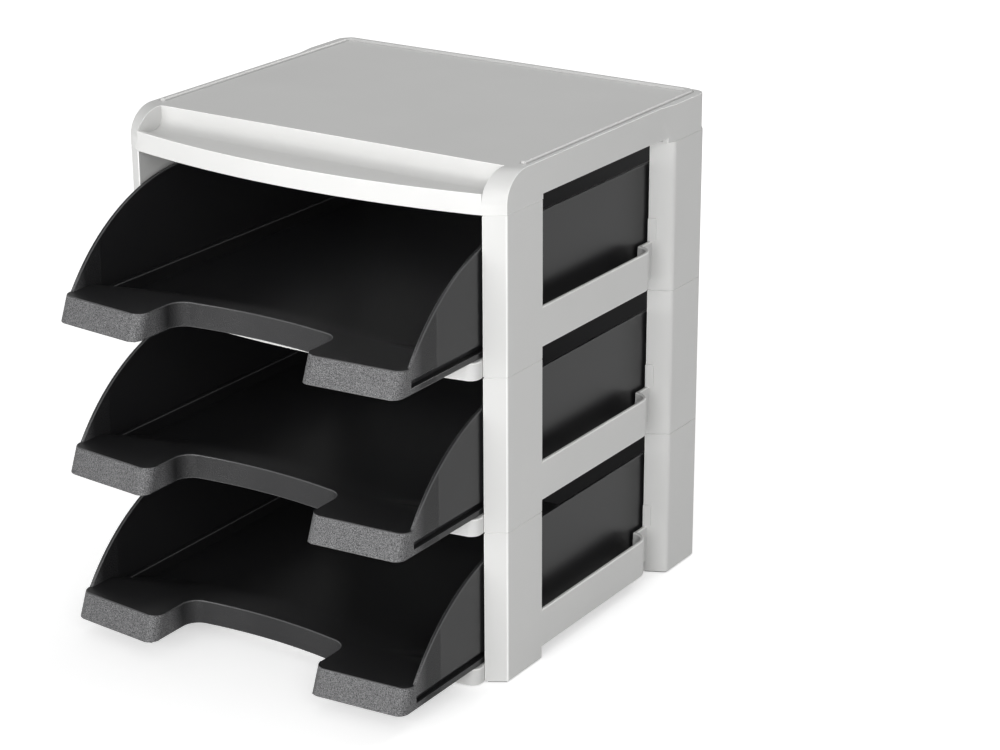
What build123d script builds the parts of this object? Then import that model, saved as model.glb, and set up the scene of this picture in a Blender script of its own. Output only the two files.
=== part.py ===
from build123d import *
import math
import os

# A desk stack of three letter trays. Each module is a pair of moulded side frames, joined by a
# bowed crossbar in front and a panel behind, and a tray slides on its runners. A cap with a pen
# trough closes the stack. Millimetres: x across, y from the front edge of the side faces to the
# back, z up from the foot of a module while a piece is shaped.

# Housing
housing_width = 282.0  # over the side faces
housing_depth = 231.0  # front edge of the side faces to the back
module_pitch = 99.5  # seam to seam
level_names = ("lower", "middle", "upper")
frame_wall = 2.5
fit_gap = 0.3  # running and plug-in clearance
seam_break = 0.4  # chamfer that shows along each seam

# Posts
post_width = 12.5  # across the front face
post_lead = 8.0  # the front face comes forward by this much towards the middle
post_depth = 39.0  # along the side
rear_post_depth = 39.5  # of its outer face
rear_post_proud = 2.5  # beyond the side face
rear_wall_slant = 7.5
rear_edge_radius = 3.5
rear_corner_radius = 6.0
peg_height = 5.0
peg_chamfer = 0.5

# Rails of the side frames
rail_bottom = 7.5
rail_top = 33.0
rail_web = 10.5  # from the rail's rounded end to the rear post
window_radius = 2.0
rib_size = (5.0, 0.8, 15.5)  # rib above the rail on the rear post: width, thickness, height

# Trays
tray_side_gap = 1.5  # between a tray and the posts
tray_wall = 2.4
tray_base = 11.6  # underside above the foot of its module
tray_rim = 84.5
front_corner = -92.0  # foot of the front face at the corners
front_bow = 6.5
lip_top = 27.5
lip_lean = 6.5
lip_corner_radius = 7.0
lobe_radius = 7.0
level_edge = -44.0  # where the flat top of the front hump ends, on the centre line
heel_bow = 18.5
ramp_run = 39.7
full_height_start = 32.0  # the side walls reach the rim here
wall_foot_radius = 2.5
notch_half_width = 60.5
notch_back = -57.0
notch_bow = 5.5
notch_radius = 11.0
groove_start = -78.0
groove_depth = 3.8
jog_height = 2.4  # of the thick foot of the side wall above the groove
rest_gap = 0.5  # behind the closed tray

# Runners and the stop that keeps a tray in
runner_thickness = 4.0
runner_above_base = 4.3
runner_front = -2.0
runner_end = 21.0  # the runners stop this far ahead of the back
runner_lead_in = 5.0
tray_travel = 170.0
stop_lug_size = (14.0, 3.0, 5.5)
stop_lug_inset = 31.0  # from the tray's side

# Front crossbar
bar_reach = 29.0  # foremost point ahead of the side faces' front edge
bar_bow = 11.0
bar_overlap = 0.5  # its ends lie this far over the posts' front faces
bar_end_radius = 7.0
bar_rear = 8.0
bar_tab = (5.0, 5.0)  # along y and z

# Rear panel
panel_flange = 4.0
panel_rib = 1.6
panel_rib_count = 5
panel_tab = (3.0, 9.0)  # along y and z

# Cap
cap_height = 24.0
cap_edge = 3.3  # lower edge of its sides between the posts
cap_round = 18.0  # of the cheeks' front
cap_rear_radius = 8.0
cap_flare = 15.0  # length over which its sides widen to the rear posts
plate_front = 16.0  # front edge of the top plate
band_reach = 22.5
band_height = 12.7
band_wall = 3.0
trough_floor = 9.6
trough_round = 7.0  # along the foot of the trough's rear wall
ridge_front = 25.0
ridge_height = 1.5
ridge_width = 4.0
ridge_inset = 3.5
ridge_groove = 0.8
ridge_groove_depth = 0.6
ridge_chamfer = 0.7
ridge_end_flat = 0.1
shoulder_height = 5.5
shoulder_taper = 25.0  # degrees

# Feet
foot_proud = 0.8
foot_inset = 1.2
foot_plug = 4.0

# Derived places
side_x = housing_width / 2
post_inner_x = side_x - post_width
tray_width = 2 * (post_inner_x - tray_side_gap)
bar_half_width = post_inner_x + bar_overlap
runner_rear = housing_depth - runner_end
stop_lug_x = tray_width / 2 - stop_lug_inset
quarter_turn = 90
rear_wall_y = housing_depth - rear_post_depth - rear_wall_slant
rail_turn_y = rear_wall_y - rail_web - post_width
runner_bottom = tray_base + runner_above_base
runner_top = runner_bottom + runner_thickness
groove_inner_x = tray_width / 2 - groove_depth
runner_tip_x = groove_inner_x + fit_gap
groove_top = runner_top + fit_gap
groove_bottom = runner_bottom - 2 * fit_gap
jog_x = groove_inner_x - tray_wall
floor_top = tray_base + tray_wall
tray_rear = housing_depth - frame_wall - panel_flange - rest_gap
lip_front = front_corner + lip_lean
wall_start = lip_front + lip_corner_radius
bar_height = tray_base - fit_gap
stop_lug_front = bar_rear + fit_gap + tray_travel
panel_half_width = post_inner_x - fit_gap
panel_front = housing_depth - frame_wall - panel_flange
panel_tab_levels = (module_pitch / 4, 3 * module_pitch / 4)


def front_post_plan(inset=0.0):
    """Outline of the right front post, its front face coming forward towards the middle."""
    with BuildSketch() as plan:
        with BuildLine():
            Polyline(
                (side_x, 0),
                (post_inner_x, -post_lead),
                (post_inner_x, post_depth),
                (side_x, post_depth),
                close=True,
            )
        make_face()
        if inset:
            offset(amount=-inset)
    return plan.sketch


def rear_post_plan(inset=0.0):
    """Outline of the right rear post, which stands proud of the side and has rounded corners."""
    outer_x = side_x + rear_post_proud
    with BuildSketch() as plan:
        with BuildLine():
            Polyline(
                (post_inner_x, rear_wall_y),
                (outer_x, rear_wall_y + rear_wall_slant),
                (outer_x, housing_depth),
                (post_inner_x, housing_depth),
                close=True,
            )
        make_face()
        outer = plan.vertices().group_by(Axis.X)[-1].sort_by(Axis.Y)
        fillet(outer[0], rear_edge_radius)
        fillet(plan.vertices().group_by(Axis.Y)[-1].sort_by(Axis.X)[-1], rear_corner_radius)
        if inset:
            offset(amount=-inset)
    return plan.sketch


post_plans = (front_post_plan, rear_post_plan)


# Side frame: a rail between two hollow posts. Pegs on the posts enter the posts above.
with BuildPart() as right_side_frame:
    with BuildSketch():
        with BuildLine():
            outer_turn = CenterArc((post_inner_x, rail_turn_y), post_width, 0, quarter_turn)
            inner_radius = post_width - frame_wall
            inner_turn = CenterArc((post_inner_x, rail_turn_y), inner_radius, quarter_turn, -quarter_turn)
            Line(outer_turn @ 1, inner_turn @ 0)
            Polyline(
                inner_turn @ 1,
                (side_x - frame_wall, post_depth - frame_wall),
                (side_x, post_depth - frame_wall),
                outer_turn @ 0,
            )
        make_face()
        with Locations((post_inner_x, rail_turn_y + inner_radius)):
            web_depth = rear_wall_y + frame_wall - rail_turn_y - inner_radius
            Rectangle(frame_wall, web_depth, align=(Align.MIN, Align.MIN))
    extrude(amount=module_pitch)
    with BuildSketch(Plane.YZ.offset(groove_inner_x)) as gaps:
        with BuildLine():
            Polyline(
                (post_depth, rail_top),
                (housing_depth, rail_top),
                (housing_depth, 2 * module_pitch),
                (post_depth, 2 * module_pitch),
                close=True,
            )
        make_face()
        with BuildLine():
            Polyline(
                (post_depth, -rail_bottom),
                (post_depth, rail_bottom),
                (housing_depth, rail_bottom),
                (housing_depth, -rail_bottom),
                close=True,
            )
        make_face()
        fillet(gaps.vertices().group_by(Axis.Y)[0], window_radius)
    extrude(amount=housing_width, mode=Mode.SUBTRACT)
    for post_plan in post_plans:
        extrude(post_plan(), amount=module_pitch)
    # rib above the rail on the rear post's front wall
    rib_width, rib_thickness, rib_height = rib_size
    rib_slant = rib_width * rear_wall_slant / (post_width + rear_post_proud)
    with BuildSketch(Plane.XY.offset(rail_top)):
        with BuildLine():
            Polyline(
                (post_inner_x, rear_wall_y - rib_thickness),
                (post_inner_x + rib_width, rear_wall_y + rib_slant - rib_thickness),
                (post_inner_x + rib_width, rear_wall_y + rib_slant + frame_wall),
                (post_inner_x, rear_wall_y + frame_wall),
                close=True,
            )
        make_face()
    extrude(amount=rib_height)
    for post_plan in post_plans:
        extrude(post_plan(frame_wall), amount=module_pitch - frame_wall, mode=Mode.SUBTRACT)
    foot_faces = right_side_frame.faces().filter_by(Axis.Z).group_by(Axis.Z)[0]
    head_faces = right_side_frame.faces().filter_by(Axis.Z).group_by(Axis.Z)[-1]
    seam_edges = [edge for face in foot_faces + head_faces for edge in face.outer_wire().edges()]
    chamfer(seam_edges, seam_break)
    for post_plan in post_plans:
        peg_plan = Plane.XY.offset(module_pitch) * post_plan(frame_wall + fit_gap)
        extrude(peg_plan, amount=peg_height)
    chamfer(right_side_frame.faces().group_by(Axis.Z)[-1].edges(), peg_chamfer)
    # runner, carried by the rail and by both posts
    with BuildSketch(Plane.XY.offset(runner_bottom)):
        with BuildLine():
            Polyline(
                (runner_tip_x, runner_front + runner_lead_in),
                (post_inner_x, runner_front),
                (post_inner_x, post_depth),
                (side_x - frame_wall, post_depth),
                (side_x - frame_wall, rail_turn_y),
                (post_inner_x, rail_turn_y + post_width - frame_wall),
                (post_inner_x, runner_rear),
                (runner_tip_x, runner_rear),
                close=True,
            )
        make_face()
    extrude(amount=runner_thickness)
    # sockets for the tabs of the crossbar and of the rear panel
    bar_socket_y = bar_rear - bar_tab[0] / 2
    with Locations((post_inner_x + frame_wall / 2, bar_socket_y, bar_height / 2)):
        Box(2 * frame_wall, bar_tab[0] + 2 * fit_gap, bar_tab[1] + 2 * fit_gap, mode=Mode.SUBTRACT)
    panel_tab_y = panel_front + panel_tab[0] / 2
    for tab_level in panel_tab_levels:
        with Locations((post_inner_x + frame_wall / 2, panel_tab_y, tab_level)):
            Box(
                2 * frame_wall,
                panel_tab[0] + 2 * fit_gap,
                panel_tab[1] + 2 * fit_gap,
                mode=Mode.SUBTRACT,
            )

with BuildPart() as left_side_frame:
    mirror(right_side_frame.part, about=Plane.YZ)


def bar_plan(inset=0.0):
    """Outline of the crossbar: a bowed front that wraps round in front of the posts."""
    front_x = bar_half_width - bar_end_radius
    end_y = bar_bow - bar_reach + bar_end_radius
    with BuildSketch() as plan:
        with BuildLine():
            front_y = bar_bow - bar_reach
            bow = ThreePointArc((-front_x, front_y), (0, -bar_reach), (front_x, front_y))
            right_end = RadiusArc(bow @ 1, (bar_half_width, end_y), -bar_end_radius)
            left_end = RadiusArc((-bar_half_width, end_y), bow @ 0, -bar_end_radius)
            Polyline(
                right_end @ 1,
                (bar_half_width, -post_lead - fit_gap),
                (panel_half_width, -post_lead - fit_gap),
                (panel_half_width, bar_rear),
                (-panel_half_width, bar_rear),
                (-panel_half_width, -post_lead - fit_gap),
                (-bar_half_width, -post_lead - fit_gap),
                left_end @ 0,
            )
        make_face()
        if inset:
            offset(amount=-inset)
    return plan.sketch


with BuildPart() as front_crossbar:
    extrude(bar_plan(), amount=bar_height)
    extrude(bar_plan(frame_wall), amount=bar_height - frame_wall, mode=Mode.SUBTRACT)
    with Locations(
        (panel_half_width, bar_socket_y, bar_height / 2),
        (-panel_half_width, bar_socket_y, bar_height / 2),
    ):
        Box(2 * frame_wall, bar_tab[0], bar_tab[1])

# Rear panel: a shallow pan with ribs on its inner side
with BuildPart() as rear_panel:
    with BuildSketch(Plane.XZ.offset(-housing_depth)):
        with Locations((0, module_pitch / 2)):
            Rectangle(2 * panel_half_width, module_pitch)
    extrude(amount=frame_wall + panel_flange)
    with BuildSketch(Plane.XZ.offset(-panel_front)):
        with Locations((0, module_pitch / 2)):
            Rectangle(2 * (panel_half_width - frame_wall), module_pitch - 2 * frame_wall)
            with GridLocations(2 * panel_half_width / (panel_rib_count + 1), 0, panel_rib_count, 1):
                Rectangle(panel_rib, module_pitch, mode=Mode.SUBTRACT)
    extrude(amount=-panel_flange, mode=Mode.SUBTRACT)
    for tab_level in panel_tab_levels:
        with Locations(
            (panel_half_width, panel_tab_y, tab_level),
            (-panel_half_width, panel_tab_y, tab_level),
        ):
            Box(2 * frame_wall, *panel_tab)


def heel(height):
    """Where the ramp behind the front hump stands at this height, on the centre line."""
    return level_edge + (lip_top - height) * ramp_run / (lip_top - floor_top)


def hump_plan(height, half_width, inset=0.0, heel_drop=0.0):
    """Outline of the front hump at a height: bowed front and heel, rounded front corners."""
    lean = lip_lean * (height - tray_base) / (lip_top - tray_base)
    corner_y = front_corner + lean + inset
    heel_middle = heel(height + heel_drop)
    heel_corner_y = heel_middle - heel_bow
    with BuildSketch(Plane.XY.offset(height)) as plan:
        with BuildLine():
            nose = ThreePointArc((-half_width, corner_y), (0, corner_y - front_bow), (half_width, corner_y))
            back = ThreePointArc(
                (half_width, heel_corner_y), (0, heel_middle), (-half_width, heel_corner_y)
            )
            Line(nose @ 1, back @ 0)
            Line(back @ 1, nose @ 0)
        make_face()
        nose_corners = plan.vertices().filter_by(lambda corner: corner.Y < heel_corner_y - fit_gap)
        fillet(nose_corners, lip_corner_radius - inset)
    return plan.sketch


def notch_plan(grow=0.0):
    """Outline of the finger notch, open to the front, with rounded inner corners."""
    with BuildSketch(Plane.XY) as plan:
        with BuildLine():
            back = ThreePointArc(
                (-notch_half_width, notch_back), (0, notch_back + notch_bow), (notch_half_width, notch_back)
            )
            Polyline(
                back @ 1,
                (notch_half_width, 2 * front_corner),
                (-notch_half_width, 2 * front_corner),
                back @ 0,
            )
        make_face()
        fillet(plan.vertices().group_by(Axis.Y)[-1], notch_radius)
        if grow:
            offset(amount=grow)
    return plan.sketch


# The tray's front hump: flat lip, ramp down to the floor, finger notch, hollow from below
with BuildPart() as hump:
    hump_faces = [hump_plan(level, tray_width / 2).face() for level in (tray_base, lip_top)]
    add(loft(hump_faces, ruled=True, mode=Mode.PRIVATE))
    extrude(notch_plan(), amount=2 * lip_top, mode=Mode.SUBTRACT)
    lobe_edges = hump.edges().filter_by(
        lambda edge: abs(abs(edge.center().X) - notch_half_width) < fit_gap
        and edge.center().Y < lip_front - fit_gap
        and abs(edge.center().Z - (tray_base + lip_top) / 2) < fit_gap
    )
    fillet(lobe_edges, lobe_radius)

with BuildPart() as hump_core:
    ramp_angle = math.atan2(lip_top - floor_top, ramp_run)
    core_levels = (tray_base - tray_wall, lip_top - tray_wall)
    core_faces = [
        hump_plan(level, jog_x, tray_wall, tray_wall / math.cos(ramp_angle)).face() for level in core_levels
    ]
    add(loft(core_faces, ruled=True, mode=Mode.PRIVATE))
    extrude(notch_plan(tray_wall), amount=2 * lip_top, mode=Mode.SUBTRACT)

with BuildPart() as tray:
    # floor, grooved foot and side walls
    with BuildSketch(Plane.XZ.offset(-wall_start)):
        with BuildLine() as half_section:
            Polyline(
                (0, tray_base),
                (tray_width / 2, tray_base),
                (tray_width / 2, tray_rim),
                (tray_width / 2 - tray_wall, tray_rim),
                (tray_width / 2 - tray_wall, groove_top + jog_height),
                (jog_x, groove_top + jog_height),
                (jog_x, floor_top),
                (0, floor_top),
                close=True,
            )
        make_face()
        mirror(about=Plane.YZ)
    extrude(amount=wall_start - tray_rear)
    # the side walls' front edge sweeps down to the lip
    with BuildSketch(Plane.YZ.offset(-tray_width)) as swept_edge:
        with BuildLine():
            sweep_down = TangentArc(
                (full_height_start, tray_rim), (wall_start, lip_top), tangent=(-1, 0)
            )
            Polyline(
                sweep_down @ 1,
                (2 * front_corner, lip_top),
                (2 * front_corner, 2 * tray_rim),
                (full_height_start, 2 * tray_rim),
                sweep_down @ 0,
            )
        make_face()
        fillet(swept_edge.vertices().sort_by_distance((wall_start, lip_top))[0], wall_foot_radius)
    extrude(amount=2 * tray_width, mode=Mode.SUBTRACT)
    # rear wall
    with BuildSketch(Plane.XZ.offset(-tray_rear)):
        with Locations((0, (tray_base + tray_rim) / 2)):
            Rectangle(tray_width, tray_rim - tray_base)
    extrude(amount=tray_wall)
    add(hump.part)
    add(hump_core.part, mode=Mode.SUBTRACT)
    extrude(notch_plan(), amount=2 * lip_top, mode=Mode.SUBTRACT)
    # grooves that ride on the runners
    with BuildSketch(Plane.XY.offset(groove_bottom)):
        for side in (-1, 1):
            with BuildLine():
                Polyline(
                    (side * tray_width, groove_start),
                    (side * tray_width / 2, groove_start),
                    (side * groove_inner_x, groove_start + runner_lead_in),
                    (side * groove_inner_x, housing_depth),
                    (side * tray_width, housing_depth),
                    close=True,
                )
            make_face()
    extrude(amount=groove_top - groove_bottom, mode=Mode.SUBTRACT)
    # stop lugs that meet the crossbar when the tray is fully out
    for side in (-1, 1):
        with Locations((side * stop_lug_x, stop_lug_front, tray_base)):
            Box(*stop_lug_size, align=(Align.CENTER, Align.MIN, Align.MAX))


def cap_plan(inset=0.0):
    """Outline of the cap behind its trough: cheeks in front, flared round corners at the back."""
    flare_end = rear_wall_y + rear_wall_slant
    with BuildSketch() as plan:
        with BuildLine():
            Polyline(
                (side_x, 0),
                (post_inner_x, -post_lead),
                (post_inner_x, plate_front),
                (-post_inner_x, plate_front),
                (-post_inner_x, -post_lead),
                (-side_x, 0),
                (-side_x, flare_end - cap_flare),
                (-side_x - rear_post_proud, flare_end),
                (-side_x - rear_post_proud, housing_depth),
                (side_x + rear_post_proud, housing_depth),
                (side_x + rear_post_proud, flare_end),
                (side_x, flare_end - cap_flare),
                close=True,
            )
        make_face()
        fillet(plan.vertices().group_by(Axis.Y)[-1], cap_rear_radius)
        if inset:
            offset(amount=-inset)
    return plan.sketch


def band_plan(inset=0.0):
    """Outline of the cap's front band and trough between the cheeks."""
    with BuildSketch() as plan:
        with BuildLine():
            end_y = inset - post_lead
            bow = ThreePointArc((-post_inner_x, end_y), (0, inset - band_reach), (post_inner_x, end_y))
            Polyline(bow @ 1, (post_inner_x, plate_front), (-post_inner_x, plate_front), bow @ 0)
        make_face()
    return plan.sketch


def plate_plan(inset):
    """The top plate behind the cheeks' rounds, inset at the sides and the back."""
    depth = housing_depth - inset - ridge_front
    with BuildSketch() as plan:
        with Locations((0, ridge_front + depth / 2)):
            Rectangle(housing_width - 2 * inset, depth)
        fillet(plan.vertices().group_by(Axis.Y)[-1], cap_rear_radius - inset / 2)
    return plan.sketch


def rim_plan(outer_inset, inner_inset):
    """A band that runs along both sides and the back of the top plate."""
    return plate_plan(outer_inset) - plate_plan(inner_inset)


# Cap: top plate with a raised rim, rounded cheeks, bowed front band and pen trough
with BuildPart() as cap:
    extrude(cap_plan(), amount=cap_height)
    top_edges = cap.faces().sort_by(Axis.Z)[-1].edges()
    fillet(top_edges.filter_by(lambda edge: -post_lead < edge.center().Y < 0), cap_round)
    # hollow from below
    with BuildSketch():
        with Locations((0, (plate_front + housing_depth) / 2)):
            Rectangle(housing_width - 2 * frame_wall, housing_depth - plate_front - 2 * frame_wall)
    extrude(amount=cap_height - frame_wall, mode=Mode.SUBTRACT)
    # pen trough
    extrude(band_plan(), amount=band_height)
    extrude(Plane.XY.offset(trough_floor) * band_plan(band_wall), amount=cap_height, mode=Mode.SUBTRACT)
    extrude(band_plan(frame_wall), amount=trough_floor - frame_wall, mode=Mode.SUBTRACT)
    rear_wall_foot = cap.edges().filter_by(Axis.X).filter_by_position(Axis.Z, trough_floor, trough_floor)
    fillet(rear_wall_foot.sort_by(Axis.Y)[-1], trough_round)
    # rear shoulders over the posts, and sockets for the pegs
    for side_plane in (None, Plane.YZ):
        front_socket = front_post_plan(frame_wall)
        shoulder = rear_post_plan()
        rear_socket = rear_post_plan(frame_wall)
        if side_plane:
            front_socket = mirror(front_socket, about=side_plane, mode=Mode.PRIVATE)
            shoulder = mirror(shoulder, about=side_plane, mode=Mode.PRIVATE)
            rear_socket = mirror(rear_socket, about=side_plane, mode=Mode.PRIVATE)
        extrude(front_socket, amount=peg_height + frame_wall, mode=Mode.SUBTRACT)
        extrude(shoulder, amount=shoulder_height, taper=shoulder_taper)
        extrude(rear_socket, amount=peg_height + frame_wall, mode=Mode.SUBTRACT)
    # the sides stop short of the seam between the posts
    with BuildSketch():
        with Locations((0, (post_depth + rear_wall_y) / 2)):
            Rectangle(2 * housing_width, rear_wall_y - post_depth)
    extrude(amount=cap_edge, mode=Mode.SUBTRACT)
    # rim on the plate, with a fine groove each side
    rim_inner = ridge_inset + ridge_width
    groove_level = Plane.XY.offset(cap_height - ridge_groove_depth)
    for groove_outer in (ridge_inset - ridge_groove, rim_inner):
        groove = rim_plan(groove_outer, groove_outer + ridge_groove)
        extrude(groove_level * groove, amount=cap_height, mode=Mode.SUBTRACT)
    with BuildSketch(groove_level) as ridge:
        add(rim_plan(ridge_inset, rim_inner))
        fillet(ridge.vertices().group_by(Axis.Y)[0], ridge_width / 2 - ridge_end_flat)
    extrude(amount=ridge_groove_depth + ridge_height)
    chamfer(cap.faces().group_by(Axis.Z)[-1].edges(), ridge_chamfer)

# Rubber feet: a pad under each post with a plug that fills the post's open end
with BuildPart() as front_foot:
    extrude(front_post_plan(foot_inset), amount=-foot_proud)
    extrude(front_post_plan(frame_wall + fit_gap), amount=foot_plug)
with BuildPart() as rear_foot:
    extrude(rear_post_plan(foot_inset), amount=-foot_proud)
    extrude(rear_post_plan(frame_wall + fit_gap), amount=foot_plug)
with BuildPart() as front_foot_mirrored:
    mirror(front_foot.part, about=Plane.YZ)
with BuildPart() as rear_foot_mirrored:
    mirror(rear_foot.part, about=Plane.YZ)


footprint_middle = (tray.part.bounding_box().min.Y + housing_depth) / 2


def place(piece, name, level):
    """Put a piece at its level, with the origin under the middle of the whole stack."""
    placed = piece.part.moved(Location((0, -footprint_middle, foot_proud + level * module_pitch)))
    placed.label = name
    export_step(placed, f"parts/{name}.step")


os.makedirs("parts", exist_ok=True)
module_pieces = {
    "left_side_frame": left_side_frame,
    "right_side_frame": right_side_frame,
    "front_crossbar": front_crossbar,
    "rear_panel": rear_panel,
    "tray": tray,
}
for level, level_name in enumerate(level_names):
    for piece_name, piece in module_pieces.items():
        place(piece, f"{level_name}_{piece_name}", level)
place(cap, "cap", len(level_names))
feet = {
    "front_left_foot": front_foot_mirrored,
    "front_right_foot": front_foot,
    "rear_left_foot": rear_foot_mirrored,
    "rear_right_foot": rear_foot,
}
for foot_name, foot in feet.items():
    place(foot, foot_name, 0)
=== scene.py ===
import math

import bmesh
import bpy
from mathutils import Matrix, Vector


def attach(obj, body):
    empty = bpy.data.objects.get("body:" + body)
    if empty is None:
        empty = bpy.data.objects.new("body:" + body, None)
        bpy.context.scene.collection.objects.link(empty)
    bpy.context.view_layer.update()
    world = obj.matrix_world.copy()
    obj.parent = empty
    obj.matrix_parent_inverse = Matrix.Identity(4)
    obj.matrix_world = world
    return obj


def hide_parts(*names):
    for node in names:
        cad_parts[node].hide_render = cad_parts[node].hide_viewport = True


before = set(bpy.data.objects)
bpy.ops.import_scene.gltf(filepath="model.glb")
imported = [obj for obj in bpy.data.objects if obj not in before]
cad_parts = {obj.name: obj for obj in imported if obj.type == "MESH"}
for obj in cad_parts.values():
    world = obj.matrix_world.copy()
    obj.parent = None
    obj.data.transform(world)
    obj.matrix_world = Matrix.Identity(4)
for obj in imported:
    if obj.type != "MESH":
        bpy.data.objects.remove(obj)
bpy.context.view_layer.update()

# Camera of the photograph: its turn about Z, downward tilt and roll, and the point it is placed by
camera_turn = math.radians(33.2)
camera_tilt = math.radians(20.5)
camera_roll = math.radians(-0.2)
look_at = Vector((0.0, -0.06718, 0.1508))
look_at_from_camera = Vector((-0.1135, -0.0211, 1.615))  # right, up and ahead of the camera
photo_width = 1000
focal_pixels = 2600
sensor_width = 36.0

frame_grey = (0.71, 0.71, 0.70)
tray_black = (0.016, 0.016, 0.017, 1.0)
# Paler grey on the trays' rounded edges: a painted highlight
tray_edge_highlight_grey = (0.09, 0.09, 0.092, 1.0)
# Paler grey of the flecks on the lobe fronts: partly the grain's own speckle, partly painted light
tray_flecks_and_painted_light = (0.24, 0.24, 0.245, 1.0)
foot_black = (0.03, 0.03, 0.03, 1.0)
floor_white = (0.88, 0.88, 0.88, 1.0)

# Rounding of moulded edges. An edge is rounded where it turns more than sharp_turn and has room.
flat_turn = math.radians(0.2)
smooth_turn = math.radians(35)
sharp_turn = math.radians(50)
frame_edge_round = 0.0008
tray_edge_round = 0.0006
foot_edge_round = 0.0002
round_segments = 3
least_room = 2.5  # depth of the faces beside a rounded edge, in times the rounding
least_end = 1.2  # length of the edges that meet it, in times the rounding
weld_distance = 0.00001
largest_face_leads = 100  # the normal at a corner follows the largest face there

# A tray's front hump is grained ahead of grain_rear, on faces steeper than level_normal
grain_rear = -0.1180
grain_fade = 0.0020
level_normal = 0.90
steep_normal = 0.70
# Faces ahead of lobe_front get the paler flecks as painted light; the notch faces behind lobe_rear
# stay black as painted shade
lobe_rear = -0.134
lobe_front = -0.146
inside_roughness = 0.30
grain_roughness = 0.52

# Lights, in watts, and the fill of the surroundings
fill_level = 0.30
front_watts = 29.0
low_front_watts = 7.5
right_watts = 2.7
top_watts = 0.6
back_watts = 12.0
lights_aim = Vector((0.0, 0.0, 0.16))

# What lifts the floor to white where it is seen, and a share of it where it is mirrored
floor_size = 14.0
floor_centre = (0.0, 2.0, 0.0)
floor_lift_near = 0.50
floor_lift_far = 0.80
floor_lift_start = 0.35
floor_lift_end = 1.6
mirror_share = 0.2


def deselect_all():
    bpy.ops.object.select_all(action="DESELECT")


def make_active(piece):
    deselect_all()
    piece.select_set(True)
    bpy.context.view_layer.objects.active = piece


def new_material(name):
    """A material, its nodes, its links and its Principled shader."""
    material = bpy.data.materials.new(name)
    material.use_nodes = True
    nodes = material.node_tree.nodes
    return material, nodes, material.node_tree.links, nodes["Principled BSDF"]


def object_place(nodes):
    return nodes.new("ShaderNodeTexCoord").outputs["Object"]


def noise(nodes, links, place, scale, detail=2.0):
    """Uneven values from 0 to 1, finer with a larger scale."""
    texture = nodes.new("ShaderNodeTexNoise")
    texture.inputs["Scale"].default_value = scale
    texture.inputs["Detail"].default_value = detail
    links.new(place, texture.inputs["Vector"])
    return texture.outputs["Fac"]


def bump(nodes, links, height, strength, depth, below=None):
    """A surface normal that follows this height, over the normal below it."""
    relief = nodes.new("ShaderNodeBump")
    relief.inputs["Strength"].default_value = strength
    relief.inputs["Distance"].default_value = depth
    links.new(height, relief.inputs["Height"])
    if below is not None:
        links.new(below, relief.inputs["Normal"])
    return relief.outputs["Normal"]


def ramp(nodes, links, value, low=0.0, high=1.0, at_low=0.0, at_high=1.0):
    """A value that runs from at_low to at_high while the one read runs from low to high."""
    mapped = nodes.new("ShaderNodeMapRange")
    mapped.inputs["From Min"].default_value = low
    mapped.inputs["From Max"].default_value = high
    mapped.inputs["To Min"].default_value = at_low
    mapped.inputs["To Max"].default_value = at_high
    links.new(value, mapped.inputs["Value"])
    return mapped.outputs["Result"]


def product(nodes, links, first, second):
    both = nodes.new("ShaderNodeMath")
    both.operation = "MULTIPLY"
    links.new(first, both.inputs[0])
    links.new(second, both.inputs[1])
    return both.outputs["Value"]


def cloudy_tone(nodes, links, place, colour, darkest=0.97):
    """The colour with slow, faint darker clouds in it."""
    tone = nodes.new("ShaderNodeValToRGB")
    dark_end, light_end = tone.color_ramp.elements
    dark_end.position = 0.3
    light_end.position = 0.7
    dark_end.color = [darkest * part for part in colour] + [1.0]
    light_end.color = colour + [1.0]
    links.new(noise(nodes, links, place, scale=14.0, detail=3.0), tone.inputs["Fac"])
    return tone.outputs["Color"]


def light_plastic(name, grain_scale, grain_strength, roughness, painted_lightness=1.0):
    """Satin light grey plastic: a fine moulded grain and a faint unevenness of tone. A colour
    lifted above frame_grey is a painted highlight.
    """
    uneven_gloss = 0.04
    # Raised above 1, this paints a highlight into the colour
    colour = [painted_lightness * part for part in frame_grey]
    material, nodes, links, shader = new_material(name)
    place = object_place(nodes)
    grain = noise(nodes, links, place, grain_scale)
    relief = bump(nodes, links, grain, grain_strength, depth=0.00004)
    gloss = ramp(
        nodes, links, grain, at_low=roughness - uneven_gloss, at_high=roughness + uneven_gloss
    )
    links.new(relief, shader.inputs["Normal"])
    links.new(cloudy_tone(nodes, links, place, colour), shader.inputs["Base Color"])
    links.new(gloss, shader.inputs["Roughness"])
    return material


def front_masks(nodes, links, coordinates):
    """One on the grained faces of the front hump, and one on the lobe fronts ahead of the notch,
    which get the paler flecks as painted light; the notch faces, with the same grain, are left
    without them as painted shade.
    """
    place = nodes.new("ShaderNodeSeparateXYZ")
    links.new(coordinates.outputs["Object"], place.inputs["Vector"])
    facing = nodes.new("ShaderNodeSeparateXYZ")
    links.new(coordinates.outputs["Normal"], facing.inputs["Vector"])
    depth = place.outputs["Y"]
    steep = ramp(nodes, links, facing.outputs["Z"], level_normal, steep_normal)
    hump = ramp(nodes, links, depth, grain_rear, grain_rear - grain_fade)
    lit_lobe_mask = ramp(nodes, links, depth, lobe_rear, lobe_front)
    grained = product(nodes, links, hump, steep)
    return grained, product(nodes, links, grained, lit_lobe_mask)


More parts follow.
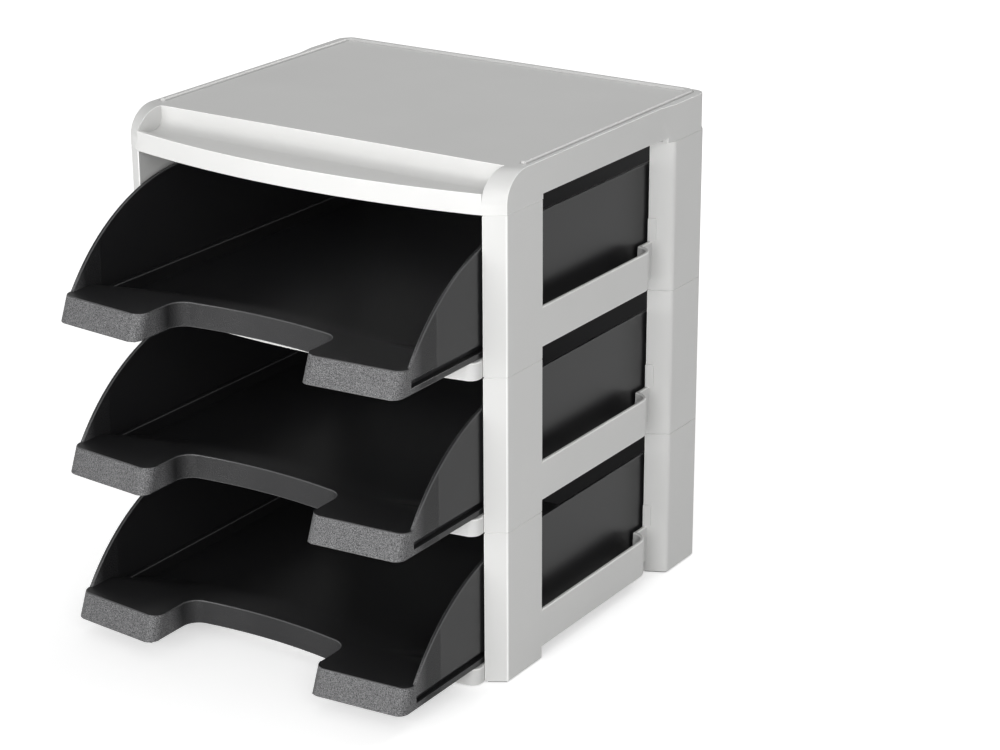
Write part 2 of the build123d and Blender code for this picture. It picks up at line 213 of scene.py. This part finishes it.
def tray_relief(nodes, links, place, grained):
    """A faint ripple all over, and round dimples where the plastic is grained."""
    ripple = bump(nodes, links, noise(nodes, links, place, 260.0), strength=0.15, depth=0.00004)
    dimples = nodes.new("ShaderNodeTexVoronoi")
    dimples.inputs["Scale"].default_value = 1500.0
    links.new(place, dimples.inputs["Vector"])
    height = product(nodes, links, dimples.outputs["Distance"], grained)
    return bump(nodes, links, height, strength=0.9, depth=0.00025, below=ripple)


def tray_colour(nodes, links, place, lit_lobe_mask):
    """Black, with paler flecks on the lobe fronts: partly the grain's own speckle, partly painted
    light, as the same grain in the notch is left black.
    """
    flecks = ramp(nodes, links, noise(nodes, links, place, 1700.0, detail=1.0), 0.30, 0.75)
    colour = nodes.new("ShaderNodeMix")
    colour.data_type = "RGBA"
    colour.inputs["A"].default_value = tray_black
    colour.inputs["B"].default_value = tray_flecks_and_painted_light
    links.new(product(nodes, links, flecks, lit_lobe_mask), colour.inputs["Factor"])
    return colour.outputs["Result"]


def tray_plastic(name):
    """Black plastic: glossy inside, coarse grained and duller on the front faces."""
    material, nodes, links, shader = new_material(name)
    coordinates = nodes.new("ShaderNodeTexCoord")
    place = coordinates.outputs["Object"]
    grained, lit_lobe_mask = front_masks(nodes, links, coordinates)
    gloss = ramp(nodes, links, grained, at_low=inside_roughness, at_high=grain_roughness)
    links.new(tray_relief(nodes, links, place, grained), shader.inputs["Normal"])
    links.new(tray_colour(nodes, links, place, lit_lobe_mask), shader.inputs["Base Color"])
    links.new(gloss, shader.inputs["Roughness"])
    return material


def even_plastic(name, colour, roughness, grain_scale, grain_strength, grain_depth):
    """One plain colour with a moulded grain."""
    material, nodes, links, shader = new_material(name)
    grain = noise(nodes, links, object_place(nodes), grain_scale)
    relief = bump(nodes, links, grain, grain_strength, grain_depth)
    links.new(relief, shader.inputs["Normal"])
    shader.inputs["Base Color"].default_value = colour
    shader.inputs["Roughness"].default_value = roughness
    return material


def highlight_black_plastic(name):
    """The black plastic on its rounded edges, which are smoother, with a paler colour painted in
    as a highlight.
    """
    return even_plastic(
        name,
        tray_edge_highlight_grey,
        roughness=0.16,
        grain_scale=500.0,
        grain_strength=0.1,
        grain_depth=0.00003,
    )


def foot_rubber(name):
    """Matt rubber with a coarse surface."""
    return even_plastic(
        name,
        foot_black,
        roughness=0.85,
        grain_scale=900.0,
        grain_strength=0.3,
        grain_depth=0.0001,
    )


def edge_room(edge):
    """How far the narrower of an edge's two faces reaches back from it."""
    return min(face.calc_area() for face in edge.link_faces) / edge.calc_length()


def has_clear_ends(edge, width):
    """Whether no edge that meets this one is too short for the rounding."""
    beside = [other for vertex in edge.verts for other in vertex.link_edges if other is not edge]
    return min(other.calc_length() for other in beside) > least_end * width


def sharp_edges(shape, width, careful):
    """The outer edges of a shape that turn sharply and have room for the rounding."""
    outer = [edge for edge in shape.edges if edge.is_manifold and edge.is_convex]
    sharp = [edge for edge in outer if edge.calc_face_angle() > sharp_turn]
    roomy = [edge for edge in sharp if edge_room(edge) > least_room * width]
    if careful:
        roomy = [edge for edge in roomy if has_clear_ends(edge, width)]
    return roomy


def soften_edges(shape, width, strip_slot, careful):
    """Round the sharp outer edges of a shape; the strips take the material in this slot."""
    bmesh.ops.dissolve_limit(shape, angle_limit=flat_turn, verts=shape.verts, edges=shape.edges)
    bmesh.ops.bevel(
        shape,
        geom=sharp_edges(shape, width, careful),
        offset=width,
        segments=round_segments,
        profile=0.5,
        affect="EDGES",
        clamp_overlap=careful,
        material=strip_slot,
    )


def even_shading(piece):
    """Smooth over the roundings and level on the large faces between them."""
    make_active(piece)
    bpy.ops.object.shade_smooth_by_angle(angle=smooth_turn)
    even = piece.modifiers.new("even_shading", "WEIGHTED_NORMAL")
    even.weight = largest_face_leads
    even.keep_sharp = True
    bpy.ops.object.modifier_apply(modifier=even.name)


def finish_piece(node, body, finishes, width, ending="shell", careful=False):
    """A copy of a CAD node that stands in its place, rounded where a width is given.

    The first finish is for its faces and the last for its rounded edges. The node's own corner
    normals are dropped, because they don't fit the rounded shape.
    """
    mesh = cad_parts[node].data.copy()
    mesh.attributes.remove(mesh.attributes["custom_normal"])
    mesh.materials.clear()
    for finish in finishes:
        mesh.materials.append(finish)
    shape = bmesh.new()
    shape.from_mesh(mesh)
    bmesh.ops.remove_doubles(shape, verts=shape.verts, dist=weld_distance)
    if width:
        soften_edges(shape, width, len(finishes) - 1, careful)
    shape.to_mesh(mesh)
    shape.free()
    piece = bpy.data.objects.new(f"{node}_{ending}", mesh)
    bpy.context.scene.collection.objects.link(piece)
    even_shading(piece)
    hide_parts(node)
    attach(piece, body)


side_finish = light_plastic(
    "satin_grey_sides", grain_scale=1500.0, grain_strength=0.12, roughness=0.42
)
cap_finish = light_plastic(
    "satin_grey_cap", grain_scale=1100.0, grain_strength=0.18, roughness=0.38
)
panel_finish = light_plastic(
    "satin_grey_panel", grain_scale=1500.0, grain_strength=0.12, roughness=0.46
)
tray_finish = tray_plastic("grained_black_tray")
rubber_finish = foot_rubber("matt_rubber")
# The rounded edges of the light grey parts are 1.32 times paler than the faces: a painted
# highlight, along with a lower roughness
frame_edge_highlight_finish = light_plastic(
    "grey_edges_painted_highlight", grain_scale=1500.0, grain_strength=0.05, roughness=0.22, painted_lightness=1.32
)
tray_edge_highlight_finish = highlight_black_plastic("black_edges_painted_highlight")


def finish_module(level):
    """One storey of the stack: its side frames, crossbar, rear panel and tray."""
    frame_finishes = (side_finish, frame_edge_highlight_finish)
    for part in ("left_side_frame", "right_side_frame", "front_crossbar"):
        node = f"{level}_{part}"
        finish_piece(node, "housing", frame_finishes, frame_edge_round)
    panel = f"{level}_rear_panel"
    finish_piece(panel, "housing", (panel_finish,), width=None)
    tray = f"{level}_tray"
    finish_piece(tray, tray, (tray_finish, tray_edge_highlight_finish), tray_edge_round)


def finish_cap():
    """The cap, whose narrow rims leave no room for rounding near their ends."""
    finishes = (cap_finish, frame_edge_highlight_finish)
    finish_piece("cap", "housing", finishes, frame_edge_round, careful=True)


def finish_feet():
    for corner in ("front_left", "front_right", "rear_left", "rear_right"):
        foot = f"{corner}_foot"
        finish_piece(foot, "housing", (rubber_finish,), foot_edge_round, "pad")


def floor_glow(nodes, links):
    """Light that only the camera sees, and mirroring surfaces in part; stronger further out."""
    place = object_place(nodes)
    reach = nodes.new("ShaderNodeVectorMath")
    reach.operation = "LENGTH"
    links.new(place, reach.inputs[0])
    outward = ramp(
        nodes,
        links,
        reach.outputs["Value"],
        floor_lift_start,
        floor_lift_end,
        floor_lift_near,
        floor_lift_far,
    )
    path = nodes.new("ShaderNodeLightPath")
    seen = nodes.new("ShaderNodeMath")
    seen.operation = "MULTIPLY_ADD"
    seen.inputs[1].default_value = mirror_share
    links.new(path.outputs["Is Glossy Ray"], seen.inputs[0])
    links.new(path.outputs["Is Camera Ray"], seen.inputs[2])
    glow = nodes.new("ShaderNodeEmission")
    links.new(product(nodes, links, seen.outputs["Value"], outward), glow.inputs["Strength"])
    return glow.outputs["Emission"]


def floor_paper():
    """Matt white paper that keeps the object's shadow."""
    material, nodes, links, shader = new_material("floor_paper")
    shader.inputs["Base Color"].default_value = floor_white
    shader.inputs["Roughness"].default_value = 0.9
    shader.inputs["Specular IOR Level"].default_value = 0.1
    both = nodes.new("ShaderNodeAddShader")
    links.new(shader.outputs["BSDF"], both.inputs[0])
    links.new(floor_glow(nodes, links), both.inputs[1])
    links.new(both.outputs["Shader"], nodes["Material Output"].inputs["Surface"])
    return material


def white_floor():
    deselect_all()
    bpy.ops.mesh.primitive_plane_add(size=floor_size, location=floor_centre)
    floor = bpy.context.object
    floor.name = "floor"
    bpy.ops.object.transform_apply(location=True, rotation=True, scale=True)
    floor.data.materials.append(floor_paper())


def soft_light(name, place, size, watts):
    """A softbox that faces the object and isn't seen by the camera."""
    lamp = bpy.data.lights.new(name, "AREA")
    lamp.shape = "RECTANGLE"
    lamp.size, lamp.size_y = size
    lamp.energy = watts
    holder = bpy.data.objects.new(name, lamp)
    bpy.context.scene.collection.objects.link(holder)
    holder.visible_camera = False
    holder.location = place
    holder.rotation_euler = (lights_aim - Vector(place)).to_track_quat("-Z", "Y").to_euler()


def white_surroundings():
    """A background that is white to the camera and a dim fill light to the object."""
    world = bpy.data.worlds.new("studio")
    bpy.context.scene.world = world
    world.use_nodes = True
    nodes, links = world.node_tree.nodes, world.node_tree.links
    background = nodes["Background"]
    background.inputs["Color"].default_value = (1.0, 1.0, 1.0, 1.0)
    path = nodes.new("ShaderNodeLightPath")
    level = ramp(nodes, links, path.outputs["Is Camera Ray"], at_low=fill_level)
    links.new(level, background.inputs["Strength"])


def studio():
    """White surroundings, two wide softboxes in front, and small ones right, above and behind."""
    white_surroundings()
    soft_light("front_softbox", (0.10, -2.20, 0.75), (2.4, 1.3), front_watts)
    soft_light("low_front_softbox", (0.10, -1.50, 0.24), (1.8, 0.4), low_front_watts)
    soft_light("right_softbox", (1.0, -0.85, 0.85), (0.5, 0.5), right_watts)
    soft_light("top_softbox", (-0.12, 0.06, 1.0), (0.4, 0.3), top_watts)
    soft_light("back_softbox", (0.35, 1.70, 1.50), (1.2, 0.6), back_watts)


def photo_camera():
    """The camera at the photograph's viewing angle."""
    camera = bpy.data.cameras.new("camera")
    camera.sensor_width = sensor_width
    camera.lens = focal_pixels * sensor_width / photo_width
    camera.clip_start = 0.05
    camera.clip_end = 30.0
    holder = bpy.data.objects.new("camera", camera)
    bpy.context.scene.collection.objects.link(holder)
    turn = (
        Matrix.Rotation(camera_turn, 3, "Z")
        @ Matrix.Rotation(math.radians(90) - camera_tilt, 3, "X")
        @ Matrix.Rotation(camera_roll, 3, "Z")
    )
    right, up, back = turn.col
    seen = look_at_from_camera
    place = look_at - right * seen.x - up * seen.y + back * seen.z
    holder.matrix_world = Matrix.Translation(place) @ turn.to_4x4()
    bpy.context.scene.camera = holder


for level in ("lower", "middle", "upper"):
    finish_module(level)
finish_cap()
finish_feet()
white_floor()
studio()
photo_camera()
bpy.context.scene.view_settings.view_transform = "Standard"
